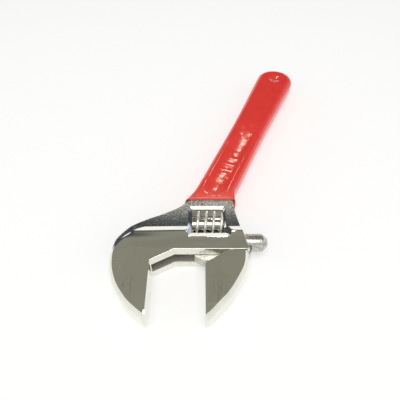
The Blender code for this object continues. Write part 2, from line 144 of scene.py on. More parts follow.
class WrenchSizes(bpy.types.PropertyGroup):
    """Sizes of the wrench's edges, thread and spring."""

    edge_width: FloatProperty(
        name="Edge width", description="How far the rounded outer edges of the jaws reach in",
        default=0.0017, min=0.0002, max=0.003, unit="LENGTH")
    small_edge: FloatProperty(
        name="Small edge", description="Rounding where ground faces meet the gripping faces",
        default=0.00022, min=0.00005, max=0.001, unit="LENGTH")
    forged_edge: FloatProperty(
        name="Forged edge", description="Rounding of the forging behind the head",
        default=0.0016, min=0.0002, max=0.003, unit="LENGTH")
    pitch: FloatProperty(
        name="Thread pitch", description="Distance from one crest of the knurl's thread to the next",
        default=0.0039, min=0.002, max=0.006, unit="LENGTH")
    crest_width: FloatProperty(
        name="Crest width", description="Thickness of the knurl's thread where it leaves the core",
        default=0.00136, min=0.0005, max=0.0016, unit="LENGTH")
    spring_turns: FloatProperty(
        name="Spring turns", description="Turns of the spring behind the knurl",
        default=3.0, min=1.0, max=8.0)
    spring_wire: FloatProperty(
        name="Spring wire", description="Radius of the spring's wire", default=0.00025, unit="LENGTH")
    panel_depth: FloatProperty(
        name="Panel depth", description="How far the hollow in the grip's face sinks at its front",
        default=0.0010, min=0.0, max=0.0013, unit="LENGTH")
    round_steps: IntProperty(
        name="Round steps", description="Segments in a full turn of the round pieces",
        default=96, min=24, max=160)


class WrenchFinishes(bpy.types.PropertyGroup):
    """Colours of the wrench's finishes."""

    chrome: FloatVectorProperty(
        name="Chrome", description="Colour of the polished plating", subtype="COLOR",
        default=(0.82, 0.815, 0.745), min=0.0, max=1.0)
    blasted: FloatVectorProperty(
        name="Blasted chrome", description="Colour of the plating over the blasted forging", subtype="COLOR",
        default=(0.80, 0.80, 0.75), min=0.0, max=1.0)
    steel: FloatVectorProperty(
        name="Machined steel", description="Colour of the slot, the bore and the spring", subtype="COLOR",
        default=(0.66, 0.64, 0.56), min=0.0, max=1.0)
    vinyl: FloatVectorProperty(
        name="Vinyl", description="Colour of the dipped grip", subtype="COLOR",
        default=(0.80, 0.050, 0.038), min=0.0, max=1.0)


class WrenchStage(bpy.types.PropertyGroup):
    """The floor and the light."""

    floor: FloatVectorProperty(
        name="Floor", description="Colour of the floor", subtype="COLOR",
        default=(0.55, 0.55, 0.55), min=0.0, max=1.0)
    overhead: FloatProperty(
        name="Overhead light", description="Strength of the soft light overhead",
        default=4.6, min=0.0, max=20.0)
    strip: FloatProperty(
        name="Strip light", description="Strength of the low strip behind the wrench, which shows as gloss",
        default=24.0, min=0.0, max=40.0)


# Curves in plan: lists of Vector((x, y)) that run anticlockwise


def smooth_run(points, per_span):
    """A smooth curve through the points, with its ends kept."""
    points = [Vector(p) for p in points]
    ends = [2 * points[0] - points[1], *points, 2 * points[-1] - points[-2]]
    run = []
    for i in range(1, len(ends) - 2):
        before, start, stop, after = ends[i - 1 : i + 3]
        for step in range(per_span):
            t = step / per_span
            linear = (stop - before) * t
            square = (2 * before - 5 * start + 4 * stop - after) * t**2
            cube = (3 * start - before - 3 * stop + after) * t**3
            run.append(0.5 * (2 * start + linear + square + cube))
    return [*run, points[-1]]


def straight_run(start, stop, step):
    """Points from start towards stop, without stop itself."""
    start, stop = Vector(start), Vector(stop)
    count = max(1, round((stop - start).length / step))
    return [start.lerp(stop, i / count) for i in range(count)]


def straight_runs(corners, step):
    """A straight run from each corner to the next."""
    return [straight_run(start, stop, step) for start, stop in zip(corners, corners[1:])]


def pairs(points):
    return [tuple(p) for p in points]


def arc(centre, radius, start, stop, steps):
    angles = [start + (stop - start) * i / steps for i in range(steps + 1)]
    return [centre + radius * Vector((math.cos(a), math.sin(a))) for a in angles]


def rounded_rectangle(low, high, radius, steps):
    corners = [
        (Vector((high.x - radius, low.y + radius)), -90),
        (Vector((high.x - radius, high.y - radius)), 0),
        (Vector((low.x + radius, high.y - radius)), 90),
        (Vector((low.x + radius, low.y + radius)), 180),
    ]
    outline = []
    for centre, degrees in corners:
        outline += arc(centre, radius, math.radians(degrees), math.radians(degrees + 90), steps)
    return outline


def handle_direction():
    return (HANDLE_END - HANDLE_START).normalized()


def handle_side():
    """Unit vector across the handle, towards +X."""
    along = handle_direction()
    return Vector((along.y, -along.x))


def handle_outline(grow):
    """The handle from its right shoulder round its end to its left shoulder, grown outwards."""
    side = handle_side()
    turn = math.atan2(side.y, side.x)
    start = HANDLE_START + (HANDLE_HALF_WIDTH + grow) * side
    stop = HANDLE_START - (HANDLE_HALF_WIDTH + grow) * side
    middle = HANDLE_START.lerp(HANDLE_END, 0.5)
    middle_half = HANDLE_HALF_WIDTH + HANDLE_SWELL + grow
    end = arc(HANDLE_END, END_RADIUS + grow, turn, turn + math.pi, 32)
    right = smooth_run([start, middle + middle_half * side, end[0]], 30)
    left = smooth_run([end[-1], middle - middle_half * side, stop], 30)
    return right[:-1] + end[:-1] + left


# Plates: solids whose two faces are the same height map, mirrored


class Rim:
    """A closed outline whose every segment has its own edge rounding.

    The rounding starts at the width from the outline and is an arc whose radius is ratio times the width.
    A ratio of 1 leaves the face smoothly. A ratio of 2 leaves it at a visible line, as where a face was
    ground after the edges were rounded."""

    def __init__(self, runs):
        points, widths, ratios = [], [], []
        for run, width, ratio in runs:
            points += pairs(run)
            widths += list(np.linspace(width[0], width[1], len(run)))
            ratios += list(np.linspace(ratio[0], ratio[1], len(run)))
        self.points = np.array(points)
        self.widths = np.array(widths)
        self.ratios = np.array(ratios)
        self.next = np.roll(self.points, -1, axis=0)

    def nearest(self, places):
        """How deep the edge rounding cuts at every place, and its distance as a share of the width."""
        drops = np.zeros(len(places))
        shares = np.full(len(places), np.inf)
        along = self.next - self.points
        length_squared = (along**2).sum(1)
        for i in range(len(self.points)):
            offset = places - self.points[i]
            t = np.clip(offset @ along[i] / length_squared[i], 0, 1)
            distance = np.hypot(*(offset - t[:, None] * along[i]).T)
            width, ratio = self.widths[i], self.ratios[i]
            radius = width * ratio
            inside = np.clip(distance, 0, width)
            full = math.sqrt(radius**2 - (radius - width) ** 2)
            drop = full - np.sqrt(np.maximum(radius**2 - (radius - inside) ** 2, 0))
            drops = np.maximum(drops, drop)
            shares = np.minimum(shares, distance / width)
        return drops, shares

    def inward(self):
        """Unit vectors at the points, pointing into the outline."""
        before = self.points - np.roll(self.points, 1, axis=0)
        after = self.next - self.points
        before /= np.linalg.norm(before, axis=1)[:, None]
        after /= np.linalg.norm(after, axis=1)[:, None]
        mean = before + after
        normal = np.stack([-mean[:, 1], mean[:, 0]], axis=1)
        return normal / np.linalg.norm(normal, axis=1)[:, None]


RING_SHARES = (0.012, 0.05, 0.12, 0.22, 0.36, 0.53, 0.75, 1.0, 1.12)


def kept_runs(places, kept):
    """The unbroken runs of the places that are kept."""
    runs, run = [], []
    for place, keep in zip(places, kept):
        if keep:
            run.append(tuple(place))
        elif run:
            runs.append(run)
            run = []
    return [*runs, run] if run else runs


def ring_runs(rim):
    """Lines that follow the outline inside it, broken where another part of the outline is nearer."""
    inward = rim.inward()
    runs = []
    for share in RING_SHARES:
        places = rim.points + inward * (rim.widths * share)[:, None]
        _, shares = rim.nearest(places)
        runs += kept_runs(places, np.abs(shares - share) < 0.06 * share + 0.004)
    return runs


def grid_points(rim, steps, fixed):
    """Points that fill the outline, each kept clear of its rounding and of the fixed points."""
    low, high = rim.points.min(0), rim.points.max(0)
    found = []
    for (first, last), step in steps:
        rows = np.arange(max(low[1], first), min(high[1], last), step)
        columns = np.arange(low[0], high[0], step)
        shift = 0.5 * step * (np.arange(len(rows)) % 2)
        block = np.array([(x + s, y) for y, s in zip(rows, shift) for x in columns])
        if len(block) == 0:
            continue
        _, shares = rim.nearest(block)
        block = block[(shares > 1.3) & inside_outline(rim.points, block)]
        if len(fixed):
            clear = np.ones(len(block), bool)
            for i in range(0, len(fixed), 200):
                gap = np.hypot(*(block[:, None, :] - fixed[None, i : i + 200, :]).transpose(2, 0, 1))
                clear &= (gap > 0.45 * step).all(1)
            block = block[clear]
        found += pairs(block)
    return found


def inside_outline(outline, places):
    """True for the places inside the closed outline."""
    inside = np.zeros(len(places), bool)
    for (x0, y0), (x1, y1) in zip(outline, np.roll(outline, -1, axis=0)):
        crosses = (y0 > places[:, 1]) != (y1 > places[:, 1])
        if y0 == y1:
            continue
        at = x0 + (places[:, 1] - y0) * (x1 - x0) / (y1 - y0)
        inside ^= crosses & (places[:, 0] < at)
    return inside


def plate(name, rim, height, lines, steps):
    """A plate with the rim's outline, whose faces stand at +height(x, y) and -height(x, y) less the rounding.

    lines are runs of points that the mesh keeps as edges, and steps are ((first y, last y), grid step)."""
    scale = 1000.0
    points = pairs(rim.points)
    edges = [(i, (i + 1) % len(points)) for i in range(len(points))]
    for run in ring_runs(rim) + lines:
        if len(run) > 1:
            edges += [(len(points) + i, len(points) + i + 1) for i in range(len(run) - 1)]
        points += pairs(run)
    points += grid_points(rim, steps, np.array(points))
    flat = [Vector((x * scale, y * scale)) for x, y in points]
    outline = list(range(len(rim.points)))
    made, _, faces, *_ = delaunay_2d_cdt(flat, edges, [outline], 1, 1e-4)
    places = np.array([(p.x / scale, p.y / scale) for p in made])
    drops, _ = rim.nearest(places)
    top = height(places[:, 0], places[:, 1]) - drops
    count = len(places)
    corners = [(x, y, z) for (x, y), z in zip(places, top)] + [(x, y, -z) for (x, y), z in zip(places, top)]
    solid_faces = [tuple(f) for f in faces]
    solid_faces += [tuple(i + count for i in reversed(f)) for f in faces]
    sides = {pair: None for face in faces for pair in zip(face, face[1:] + face[:1])}
    for a, b in sides:
        if (b, a) not in sides:
            solid_faces.append((b, a, a + count, b + count))
    mesh = bpy.data.meshes.new(name)
    mesh.from_pydata(corners, [], solid_faces)
    close(mesh)
    return add_object(name, mesh)


# Meshes and cutters


def add_object(name, mesh):
    made = bpy.data.objects.new(name, mesh)
    bpy.context.scene.collection.objects.link(made)
    return made


def write_closed(edit, mesh):
    """Merges what meets, turns every face outwards and writes the result to the mesh."""
    bmesh.ops.remove_doubles(edit, verts=edit.verts, dist=WELD)
    bmesh.ops.recalc_face_normals(edit, faces=edit.faces)
    edit.to_mesh(mesh)
    edit.free()


def close(mesh):
    edit = bmesh.new()
    edit.from_mesh(mesh)
    write_closed(edit, mesh)


def closed_object(name, edit):
    mesh = bpy.data.meshes.new(name)
    write_closed(edit, mesh)
    return add_object(name, mesh)


def evaluated_mesh(source):
    """What the object's modifiers make, as a plain mesh."""
    bpy.context.view_layer.update()
    graph = bpy.context.evaluated_depsgraph_get()
    return bpy.data.meshes.new_from_object(source.evaluated_get(graph))


def combine(target, other, operation):
    """Joins, cuts or keeps what both share, and removes the other solid."""
    modifier = target.modifiers.new(operation.lower(), "BOOLEAN")
    modifier.operation = operation
    modifier.solver = "EXACT"
    modifier.object = other
    mesh = evaluated_mesh(target)
    target.modifiers.clear()
    target.data = mesh
    bpy.data.objects.remove(other, do_unlink=True)
    return target


def prism(name, outline, low, high):
    """A closed prism of the outline between two heights."""
    edit = bmesh.new()
    corners = [edit.verts.new((p[0], p[1], low)) for p in outline]
    base = edit.faces.new(corners)
    grown = bmesh.ops.extrude_face_region(edit, geom=[base])["geom"]
    raised = [g for g in grown if isinstance(g, bmesh.types.BMVert)]
    bmesh.ops.translate(edit, vec=(0, 0, high - low), verts=raised)
    bmesh.ops.triangulate(edit, faces=edit.faces)
    return closed_object(name, edit)


def turned(name, profile, steps, cyclic=False):
    """A solid turned about X from (x, radius) pairs."""
    edit = bmesh.new()
    corners = [edit.verts.new((x, radius, 0)) for x, radius in profile]
    edges = [edit.edges.new(pair) for pair in zip(corners, corners[1:])]
    if cyclic:
        edges.append(edit.edges.new((corners[-1], corners[0])))
    bmesh.ops.spin(
        edit, geom=corners + edges, cent=(0, 0, 0), axis=(1, 0, 0), angle=2 * math.pi, steps=steps,
        use_merge=True, use_duplicate=False)
    return closed_object(name, edit)


def moved(target, x, y):
    target.data.transform(Matrix.Translation((x, y, 0)))
    return target


def rod(name, radius, left, right, y, steps):
    length = right - left
    return moved(turned(name, [(0, 0), (0, radius), (length, radius), (length, 0)], steps), left, y)

def chamfered_rod(name, radius, left, right, y, chamfer, soft, steps):
    """A rod along X; its right end has the chamfer (along, inwards), and its corners are softened."""
    length = right - left
    profile = [
        (0, 0),
        (0, radius - 0.0004),
        (0.0004, radius),
        (length - chamfer[0], radius),
        (length, radius - chamfer[1]),
        (length, 0),
    ]
    return moved(turned(name, soften(profile, soft), steps), left, y)


def soften(profile, radius):
    """The (x, radius) profile with each of its inner corners cut by a small round."""
    points = [Vector(p) for p in profile]
    out = [points[0]]
    for before, corner, after in zip(points, points[1:], points[2:]):
        reach = min(radius, (before - corner).length / 2, (after - corner).length / 2)
        start = corner + (before - corner).normalized() * reach
        stop = corner + (after - corner).normalized() * reach
        for t in (0, 0.25, 0.5, 0.75, 1):
            out.append((1 - t) ** 2 * start + 2 * t * (1 - t) * corner + t**2 * stop)
    return pairs([*out, points[-1]])


def finish_piece(piece, body, nodes, materials, angle, pick=None):
    """Gives the piece its materials, smooth shading with crisp corners, and its place on a body.

    pick says which material a face takes, from its centre and normal."""
    mesh = piece.data
    close(mesh)
    mesh.materials.clear()
    for material in materials:
        mesh.materials.append(material)
    if pick is not None:
        for face in mesh.polygons:
            face.material_index = pick(face.center, face.normal)
    mesh.shade_smooth()
    mesh.set_sharp_from_angle(angle=math.radians(angle))
    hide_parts(*nodes)
    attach(piece, body)


# Nodes


class Nodes:
    """Short ways to add linked nodes to a tree."""

    def __init__(self, tree):
        self.tree = tree

    def link(self, value, socket):
        if isinstance(value, bpy.types.NodeSocket):
            self.tree.links.new(value, socket)
        else:
            socket.default_value = value

    def add(self, kind, inputs, **settings):
        """A node with the settings, and with links or values for its inputs by name or number."""
        node = self.tree.nodes.new(kind)
        for setting, value in settings.items():
            setattr(node, setting, value)
        for key, value in inputs.items():
            self.link(value, node.inputs[key])
        return node

    def math(self, operation, first, second=0.0, third=0.0, clamp=False):
        values = {0: first, 1: second, 2: third}
        return self.add("ShaderNodeMath", values, operation=operation, use_clamp=clamp).outputs["Value"]

    def stretch(self, vector, scale):
        return self.add("ShaderNodeMapping", {"Vector": vector, "Scale": scale}).outputs["Vector"]

    def noise(self, vector, scale, detail, roughness):
        values = {"Vector": vector, "Scale": scale, "Detail": detail, "Roughness": roughness}
        return self.add("ShaderNodeTexNoise", values).outputs["Fac"]

    def split(self, vector):
        return tuple(self.add("ShaderNodeSeparateXYZ", {"Vector": vector}).outputs)

    def ramp(self, value, low, high, start=0.0, stop=1.0):
        values = dict(enumerate((value, low, high, start, stop)))
        return self.add("ShaderNodeMapRange", values, interpolation_type="SMOOTHSTEP").outputs["Result"]

    def mix(self, factor, first, second, blend="MIX"):
        values = {"Factor": factor, "A": first, "B": second}
        node = self.add("ShaderNodeMix", values, data_type="RGBA", blend_type=blend)
        return [o for o in node.outputs if o.type == "RGBA"][0]

    def place(self, output="Object"):
        return self.add("ShaderNodeTexCoord", {}).outputs[output]

    def group(self, group, values):
        return self.add("ShaderNodeGroup", values, node_tree=group).outputs


def once(name, build):
    """The node group of that name, built the first time it is asked for."""
    return bpy.data.node_groups.get(name) or build(name)


def add_sockets(tree, in_out, sockets):
    """Gives the group the named sockets, each a kind with its value if it has one."""
    for label, (kind, *value) in sockets.items():
        socket = tree.interface.new_socket(name=label, in_out=in_out, socket_type="NodeSocket" + kind)
        if value:
            socket.default_value = value[0]


# Geometry Nodes


def geometry_tree(name, inputs):
    """A modifier tree with a geometry in and out and the named inputs; returns its Nodes and its inputs."""
    tree = bpy.data.node_groups.new(name, "GeometryNodeTree")
    tree.is_modifier = True
    add_sockets(tree, "INPUT", {"Geometry": ["Geometry"], **inputs})
    add_sockets(tree, "OUTPUT", {"Geometry": ["Geometry"]})
    return Nodes(tree), tree.nodes.new("NodeGroupInput").outputs


def finish_tree(n, start, geometry):
    """Realizes the geometry, gives it the tree's material and sends it out."""
    realized = n.add("GeometryNodeRealizeInstances", {"Geometry": geometry}).outputs["Geometry"]
    paint = n.add("GeometryNodeSetMaterial", {"Geometry": realized, "Material": start["Material"]})
    n.add("NodeGroupOutput", {"Geometry": paint.outputs["Geometry"]})
    return n.tree


def coil_tree(name):
    """A wire of rounded rectangular section wound in a helix that rises along Z."""
    lengths = ("Turns", "Radius", "Height", "Wire across", "Wire along", "Corner")
    inputs = {label: ["Float"] for label in lengths}
    n, start = geometry_tree(name, {**inputs, "Steps per turn": ["Int"], "Material": ["Material"]})
    spiral = n.add("GeometryNodeCurveSpiral", {
        "Resolution": start["Steps per turn"],
        "Rotations": start["Turns"],
        "Start Radius": start["Radius"],
        "End Radius": start["Radius"],
        "Height": start["Height"],
    })
    upright = n.add("GeometryNodeSetCurveNormal", {"Curve": spiral.outputs["Curve"]}, mode="Z_UP")
    section = n.add("GeometryNodeCurvePrimitiveQuadrilateral", {
        "Width": start["Wire across"],
        "Height": start["Wire along"],
    })
    rounded = n.add("GeometryNodeFilletCurve", {
        "Curve": section.outputs["Curve"],
        "Radius": start["Corner"],
        "Count": 6,
        "Limit Radius": True,
    }, mode="POLY")
    sweep = n.add("GeometryNodeCurveToMesh", {
        "Curve": upright.outputs["Curve"],
        "Profile Curve": rounded.outputs["Curve"],
        "Fill Caps": True,
    })
    return finish_tree(n, start, sweep.outputs["Mesh"])


def row_tree(name):
    """Copies of the object's own mesh in a row."""
    inputs = {"Count": ["Int"], "First": ["Vector"], "Spacing": ["Vector"], "Material": ["Material"]}
    n, start = geometry_tree(name, inputs)
    line = n.add("GeometryNodeMeshLine", {
        "Count": start["Count"],
        "Start Location": start["First"],
        "Offset": start["Spacing"],
    })
    place = n.add("GeometryNodeInstanceOnPoints", {
        "Points": line.outputs["Mesh"],
        "Instance": start["Geometry"],
    })
    return finish_tree(n, start, place.outputs["Instances"])


def run_tree(name, source, tree, values):
    """Runs the tree on the object with the named values; a plain mesh object takes the object's place."""
    modifier = source.modifiers.new(tree.name, "NODES")
    modifier.node_group = tree
    for item in tree.interface.items_tree:
        if item.in_out == "INPUT" and item.name in values:
            modifier[item.identifier] = values[item.name]
    mesh = evaluated_mesh(source)
    bpy.data.objects.remove(source, do_unlink=True)
    mesh.name = name
    return add_object(name, mesh)


def wound_wire(name, values):
    """A plain mesh object of the wound wire with the named values."""
    seed = add_object(name + " seed", bpy.data.meshes.new(name + " seed"))
    return run_tree(name, seed, once("wound wire", coil_tree), values)


# Materials


def shader_group(name, inputs, outputs):
    """A shader group with the named inputs and outputs; returns its Nodes and its inputs."""
    tree = bpy.data.node_groups.new(name, "ShaderNodeTree")
    add_sockets(tree, "INPUT", inputs)
    add_sockets(tree, "OUTPUT", outputs)
    return Nodes(tree), tree.nodes.new("NodeGroupInput").outputs


def handling_marks(name):
    """Clouded tone and roughness from handling, with fine scratches, all at real sizes."""
    inputs = {
        "Color": ("Color", (0.8, 0.8, 0.8, 1.0)),
        "Tint": ("Color", (0.5, 0.5, 0.45, 1.0)),
        "Cloud Scale": ("Float", 90.0),
        "Cloud Amount": ("Float", 0.25),
        "Roughness": ("Float", 0.12),
        "Roughness Spread": ("Float", 0.10),
        "Scratch Scale": ("Float", 500.0),
    }
    n, start = shader_group(name, inputs, {"Color": ["Color"], "Roughness": ["Float"], "Height": ["Float"]})
    place = n.place()
    patches = n.ramp(n.noise(place, start["Cloud Scale"], 5.0, 0.6), 0.42, 0.72)
    amount = n.math("MULTIPLY", patches, start["Cloud Amount"])
    spread = n.math("MULTIPLY", patches, start["Roughness Spread"])
    across = n.noise(n.stretch(place, (1.0, 0.04, 1.0)), start["Scratch Scale"], 2.0, 0.6)
    along = n.noise(n.stretch(place, (0.05, 1.0, 1.0)), start["Scratch Scale"], 2.0, 0.6)
    scratches = n.math("MAXIMUM", n.ramp(across, 0.66, 0.72), n.ramp(along, 0.67, 0.72))
    rough = n.math("ADD", start["Roughness"], spread)
    n.add("NodeGroupOutput", {
        "Color": n.mix(amount, start["Color"], start["Tint"]),
        "Roughness": n.math("MULTIPLY_ADD", scratches, 0.08, rough, clamp=True),
        "Height": scratches,
    })
    return n.tree


def blast_grain(name):
    """The fine dimples of a blasted forging, as height, and a speckle mask that is low in their hollows, used
    for roughness and for the shade painted there.
    """
    n, start = shader_group(name, {"Size": ("Float", 1500.0)}, {"Height": ["Float"], "Speckle": ["Float"]})
    place = n.place()
    fine = n.noise(place, start["Size"], 3.0, 0.7)
    broad = n.noise(place, n.math("MULTIPLY", start["Size"], 0.31), 2.0, 0.5)
    n.add("NodeGroupOutput", {
        "Height": n.math("MULTIPLY_ADD", broad, 0.6, fine),
        "Speckle": n.ramp(fine, 0.35, 0.68),
    })
    return n.tree


def patch_mask(n, place, patches):
    """1 within each of the (centre, reach) patches on the wrench, fading to 0 at its reach."""
    mask = 0.0
    for centre, reach in patches:
        values = {"Vector": place, "Location": centre, "Scale": reach}
        offset = n.add("ShaderNodeMapping", values, vector_type="TEXTURE").outputs["Vector"]
        length = n.add("ShaderNodeVectorMath", {0: offset}, operation="LENGTH").outputs["Value"]
        mask = n.math("MAXIMUM", mask, n.ramp(length, 0.35, 1.0, 1.0, 0.0))
    return mask


def new_material(name, metallic):
    """A material with its Nodes and the inputs of its Principled shader."""
    material = bpy.data.materials.new(name)
    material.use_nodes = True
    shader = material.node_tree.nodes["Principled BSDF"].inputs
    shader["Metallic"].default_value = metallic
    return material, Nodes(material.node_tree), shader


def dress(n, shader, colour, roughness, height, depth):
    """Links the colour, the roughness and a bump of that height and depth to the shader."""
    bump = n.add("ShaderNodeBump", {"Strength": 1.0, "Distance": depth, "Height": height})
    n.link(colour, shader["Base Color"])
    n.link(roughness, shader["Roughness"])
    n.link(bump.outputs["Normal"], shader["Normal"])


def add_marks(n, colour, dulling, clouds, roughness, spread, scratches):
    """Handling marks on the colour: clouds are their scale and amount, dulling is their share of its tone."""
    dull = [c * dulling for c in colour]
    return n.group(once("handling marks", handling_marks), {
        "Color": (*colour, 1.0),
        "Tint": (*dull, 1.0),
        "Cloud Scale": clouds[0],
        "Cloud Amount": clouds[1],
        "Roughness": roughness,
        "Roughness Spread": spread,
        "Scratch Scale": scratches,
    })


def polished_chrome(finishes, name="polished chrome", dulling=0.7998, cloud=0.18):
    """Mirror plating over ground faces, with handling marks, scuffs on the fixed jaw and faint stains."""
    material, n, shader = new_material(name, 1.0)
    marks = add_marks(n, finishes.chrome, dulling, (110.0, cloud), 0.085, 0.05, 500.0)
    place = n.place()
    flecks = n.ramp(n.noise(place, 900.0, 4.0, 0.7), 0.50, 0.66)
    worn = n.math("MULTIPLY", flecks, patch_mask(n, place, SCUFFED))
    streaks = n.ramp(n.noise(n.stretch(place, (1.0, 0.30, 1.0)), 620.0, 3.0, 0.6), 0.46, 0.64)
    stained = n.math("MULTIPLY", streaks, patch_mask(n, place, STAINED))
    tone = n.mix(n.math("MULTIPLY", stained, 0.32), marks["Color"], (0.50, 0.49, 0.43, 1.0), "MULTIPLY")
    rough = n.math("MULTIPLY_ADD", worn, 0.16, marks["Roughness"], clamp=True)
    height = n.math("MULTIPLY_ADD", worn, -1.0, n.math("MULTIPLY", marks["Height"], -0.5))
    dress(n, shader, tone, rough, height, 0.000006)
    return material


def blasted_chrome(finishes):
    """Plating over the blasted forging, with painted shade: a bluish painted shade beside the ground slope
    that fades to the plating's own colour towards the grip, and painted shade in the grain's hollows.
    """
    material, n, shader = new_material("blasted chrome", 1.0)
    grain = n.group(once("blast grain", blast_grain), {"Size": 1500.0})
    _, y, _ = n.split(n.place())
    # Mask of the painted shade: 0 beside the ground slope, 1 near the grip; it also takes the metallic from 1
    # down to 0.62.
    back = n.ramp(y, BLAST_Y + 0.0005, GRIP_FRONT_Y - 0.0015)
    # Painted shade: the bluish colour painted beside the ground slope, and the plating mixed from it to its
    # own colour along the mask.
    painted_slope_shade = [c * share for c, share in zip(finishes.blasted, (0.23, 0.25, 0.28))]
    plating = n.mix(back, (*painted_slope_shade, 1.0), (*finishes.blasted, 1.0))
    # Painted shade in the grain's hollows: the plating is multiplied towards grey where the speckle is low.
    hollow = n.ramp(grain["Speckle"], 0.0, 1.0, 1.0, 0.0)
    tone = n.mix(hollow, plating, (0.24, 0.25, 0.26, 1.0), "MULTIPLY")
    rough = n.ramp(grain["Speckle"], 0.0, 1.0, 0.46, 0.32)
    n.link(n.ramp(back, 0.0, 1.0, 1.0, 0.62), shader["Metallic"])
    dress(n, shader, tone, rough, grain["Height"], 0.00016)
    return material


def marked_metal(name, metallic, depth, colour, *marks):
    """A metal with handling marks of the depth; the marks are given as add_marks takes them."""
    material, n, shader = new_material(name, metallic)
    shown = add_marks(n, colour, *marks)
    dress(n, shader, shown["Color"], shown["Roughness"], shown["Height"], depth)
    return material


def machined_steel(finishes, name="machined steel"):
    """The plated but unpolished walls of the slot, the bore and the pin's hole."""
    return marked_metal(name, 0.65, 0.00005, finishes.steel, 0.6, (420.0, 0.8), 0.34, 0.2, 1500.0)


def bright_chrome(finishes, name, shade, roughness, cloud=0.35, metallic=1.0):
    """Plating over turned pieces, clouded where oil and dust have settled."""
    bright = [c * shade for c in finishes.chrome]
    return marked_metal(name, metallic, 0.00002, bright, 0.45, (600.0, cloud), roughness, 0.10, 1200.0)


def dipped_vinyl(finishes):
    """Glossy soft vinyl that has run and set: faint cloudiness, long ripples, a few dull rubs, and a painted
    pink sheen just behind its front edge.
    """
    material, n, shader = new_material("dipped vinyl", 0.0)
    shader["Specular IOR Level"].default_value = 0.42
    place = n.place()
    deep = [c * 0.93 for c in finishes.vinyl]
    cloud = n.ramp(n.noise(place, 130.0, 4.0, 0.55), 0.35, 0.70)
    colour = n.mix(cloud, (*finishes.vinyl, 1.0), (*deep, 1.0))
    _, y, _ = n.split(place)
    # Painted sheen: a pale pink reflection painted over the red, strongest just behind the front edge and
    # gone 11 mm back.
    painted_front_sheen = n.ramp(y, GRIP_FRONT_Y + 0.0010, GRIP_FRONT_Y + 0.0110, 0.55, 0.0)
    tone = n.mix(painted_front_sheen, colour, (0.86, 0.13, 0.10, 1.0))
    rubs = n.ramp(n.noise(place, 320.0, 5.0, 0.65), 0.52, 0.80, 0.11, 0.22)
    ripples = n.noise(place, 160.0, 2.0, 0.4)
    skin = n.noise(place, 1400.0, 2.0, 0.5)
    dress(n, shader, tone, rubs, n.math("MULTIPLY_ADD", skin, 0.03, ripples), 0.00020)
    return material


# Body


def smooth_step(value):
    value = np.clip(value, 0, 1)
    return value * value * (3 - 2 * value)


def thickness(y):
    """Half thickness along Y: tapered jaws, ground head, its polished slope, and the ramp to the handle."""
    taper = HEAD_HALF - (THROAT_Y - y) * (HEAD_HALF - TIP_HALF) / (THROAT_Y - TIP_Y)
    past = y - RAMP_Y - 0.0001
    slope = HEAD_HALF - HEAD_SLOPE * (past + np.sqrt(past**2 + 0.0004**2)) / 2
    ramp = smooth_run([(BLAST_Y, 0.00697), (0.0370, 0.0057), (0.0420, 0.0048), (0.0475, WEB_HALF)], 8)
    beyond = np.interp(y, [p[0] for p in ramp], [p[1] for p in ramp])
    head = np.where(y < THROAT_Y, taper, slope)
    return np.where(y < BLAST_Y, head, beyond)


def corner_reach(x, y, circle):
    """How far the place lies outside the circle, given as its centre and radius."""
    centre, radius = circle
    return np.hypot(x - centre[0], y - centre[1]) - radius


def head_height(x, y):
    """Half thickness of the forging in plan: the section, the slope round the back corner, and the pocket."""
    ease = smooth_step((y - 0.0240) / 0.0045) * smooth_step((0.0150 - x) / 0.0240)
    ease *= 1 - smooth_step((y - BLAST_Y) / 0.0060)
    past = corner_reach(x, y, SLOPE_CIRCLE)
    corner = HEAD_HALF - CORNER_SLOPE * (past + np.sqrt(past**2 + 0.0005**2)) / 2
    corner = np.where((x < 0) & (y > 0.0150), corner, HEAD_HALF)
    surface = np.minimum(thickness(y), corner) - 0.00045 * ease
    floor = np.interp(y, [0.0279, WINDOW_HIGH.y], [0.0069, 0.0037])
    share = pocket_share(x, y)
    share = share - 0.5 * (share - 1 + np.sqrt((share - 1) ** 2 + 0.0025))
    return floor + (surface - floor) * np.clip(share, 0, 1)


def pocket_widths(x, y):
    """How wide the pocket's bevel is at the place, along X and along Y."""
    right = 0.0011 + 0.0022 * smooth_step((0.0325 - y) / 0.0038)
    across = np.where(x < (WINDOW_LOW.x + WINDOW_HIGH.x) / 2, 0.0019, right)
    along = np.where(y < (WINDOW_LOW.y + WINDOW_HIGH.y) / 2, 0.0029, 0.0012)
    return across, along


def pocket_share(x, y):
    """0 at the window's edge, rising to 1 at the top of the bevel round it."""
    across, along = pocket_widths(x, y)
    dx = np.maximum(np.maximum(WINDOW_LOW.x - x, x - WINDOW_HIGH.x), 0)
    dy = np.maximum(np.maximum(WINDOW_LOW.y - y, y - WINDOW_HIGH.y), 0)
    return np.hypot(dx / across, dy / along)


def pocket_ring(share):
    """A closed line round the window where the bevel has risen to the share."""
    turns = [
        (WINDOW_HIGH.x, WINDOW_LOW.y, -90),
        (WINDOW_HIGH.x, WINDOW_HIGH.y, 0),
        (WINDOW_LOW.x, WINDOW_HIGH.y, 90),
        (WINDOW_LOW.x, WINDOW_LOW.y, 180),
    ]
    ring = []
    for x, y, first in turns:
        for degrees in range(first, first + 91, 6):
            angle = math.radians(degrees)
            place = Vector((x + 0.0001 * math.cos(angle), y + 0.0001 * math.sin(angle)))
            for _ in range(3):
                across, along = pocket_widths(place.x, place.y)
                place = Vector((x + share * across * math.cos(angle), y + share * along * math.sin(angle)))
            ring.append(place)
    ring.append(ring[0])
    sides = straight_runs(ring, 0.0010)
    return pairs([p for side in sides for p in side] + [ring[0]])


